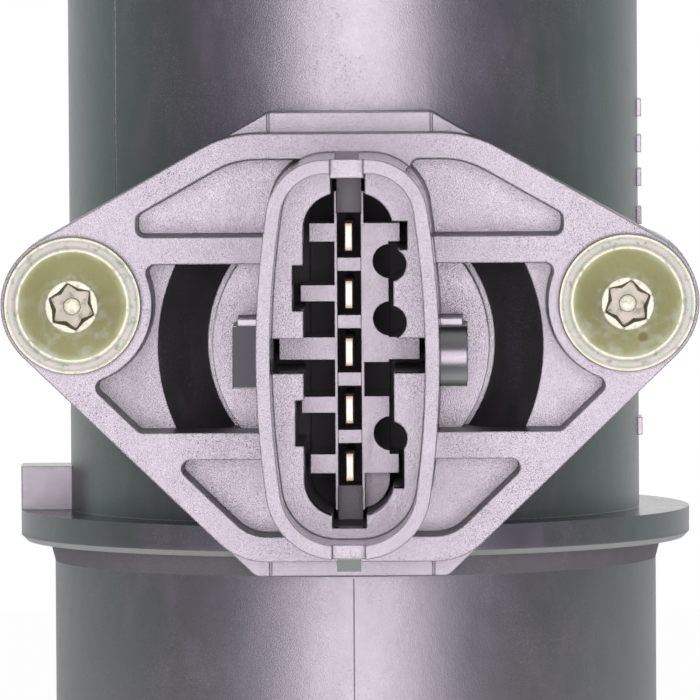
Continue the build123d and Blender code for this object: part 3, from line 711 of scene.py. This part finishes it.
# Colours of the room's walls, from before the object, at 0, to behind it, at 1
WALLS = [
    (0.0, (0.27, 0.25, 0.30)), (0.14, (0.27, 0.25, 0.40)), (0.34, (0.19, 0.19, 0.20)),
    (0.52, (0.21, 0.29, 0.25)), (0.68, (0.35, 0.49, 0.43)), (0.83, (0.58, 0.78, 0.69)),
    (1.0, (0.95, 1.0, 0.95)),
]


def make_floor():
    """Pale disc that is white to the camera and keeps a trace of the object's shadow."""
    paper = Finish("floor_paper")
    plain = paper.add("ShaderNodeBsdfDiffuse", {}, {"Color": FLOOR_PAPER})
    glow = paper.add("ShaderNodeEmission", {}, {"Color": WHITE, "Strength": 1.0})
    glowing = paper.background_share() * FLOOR_GLOW
    paper.end_with(paper.add("ShaderNodeMixShader", {}, {0: glowing, 1: plain, 2: glow}))
    mesh = bmesh.new()
    bmesh.ops.create_circle(mesh, cap_ends=True, segments=FLOOR_SIDES, radius=FLOOR_RADIUS)
    floor = make_piece("floor", mesh, [paper.material])
    floor.location = (0, FLOOR_BEHIND, cad_low.z)
    floor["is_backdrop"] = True


def make_room():
    """World: white for the camera, otherwise dim in front, bluish aside and pale green behind."""
    world = bpy.data.worlds.new("room")
    bpy.context.scene.world = world
    room = Finish(world)
    direction = room.axes(room.add("ShaderNodeTexCoord", output="Generated"))
    behind = direction.y * 0.5 + 0.5
    walls = room.add("ShaderNodeValToRGB", {"stops": WALLS}, {0: behind})
    walls = room.mix(abs(direction.z).smooth(0.3, 1.0), walls, CEILING)
    dim = room.add("ShaderNodeBackground", {}, {"Color": walls})
    white = room.add("ShaderNodeBackground", {}, {"Color": WHITE})
    share = room.background_share(mirrored=behind.smooth(0.84, 0.97))
    room.end_with(room.add("ShaderNodeMixShader", {}, {0: share, 1: dim, 2: white}))


def make_softbox(name, azimuth, elevation, away, half_angles, radiance, color):
    """Oval softbox that looks at the sensor and fills these half angles across and up, in degrees."""
    data = bpy.data.lights.new(name, "AREA")
    data.shape = "ELLIPSE"
    half_width, half_height = [away * tan(radians(angle)) for angle in half_angles]
    data.size = 2 * half_width
    data.size_y = 2 * half_height
    data.energy = radiance * pi * pi * half_width * half_height
    data.color = color
    light = bpy.data.objects.new(name, data)
    turn, rise = radians(azimuth), radians(elevation)
    back = Vector((sin(turn) * cos(rise), -cos(turn) * cos(rise), sin(rise)))
    light.location = FLANGE + back * away
    light.rotation_mode = "QUATERNION"
    light.rotation_quaternion = back.to_track_quat("Z", "Y")
    bpy.context.collection.objects.link(light)


# Camera: a metre from the flange, a little right of and above the sensor's axis
CAMERA_DISTANCE = 1000 * MM
CAMERA_RIGHT = 10.2 * MM
CAMERA_ABOVE = 46.1 * MM
CAMERA_YAW = radians(0.585)
CAMERA_PITCH = radians(2.65)
CAMERA_ROLL = radians(0.35)
FOCAL_PIXELS = 11270
FILM_WIDTH = 36
FARTHEST_SEEN = 50


def make_camera():
    """Camera at the photograph's viewing angle."""
    data = bpy.data.cameras.new("camera")
    data.sensor_width = FILM_WIDTH
    data.lens = FOCAL_PIXELS / IMAGE * FILM_WIDTH
    data.clip_end = FARTHEST_SEEN
    camera = bpy.data.objects.new("camera", data)
    ahead = Vector((
        -sin(CAMERA_YAW) * cos(CAMERA_PITCH), cos(CAMERA_YAW) * cos(CAMERA_PITCH), -sin(CAMERA_PITCH)
    ))
    level = ahead.cross(Vector((0, 0, 1))).normalized()
    upright = level.cross(ahead)
    right = level * cos(CAMERA_ROLL) - upright * sin(CAMERA_ROLL)
    up = upright * cos(CAMERA_ROLL) + level * sin(CAMERA_ROLL)
    turn = Matrix((right, up, -ahead)).transposed().to_4x4()
    place = FLANGE + Vector((CAMERA_RIGHT, -CAMERA_DISTANCE, CAMERA_ABOVE))
    camera.matrix_world = Matrix.Translation(place) @ turn
    bpy.context.collection.objects.link(camera)
    bpy.context.scene.camera = camera


make_floor()
make_room()
make_softbox(
    "key_softbox", azimuth=1.5, elevation=-2.5, away=1.15, half_angles=(26.0, 20.5), radiance=6.2,
    color=(1.0, 0.955, 1.0),
)
make_camera()

scene = bpy.context.scene
scene.view_settings.view_transform = "Standard"

low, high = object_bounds()
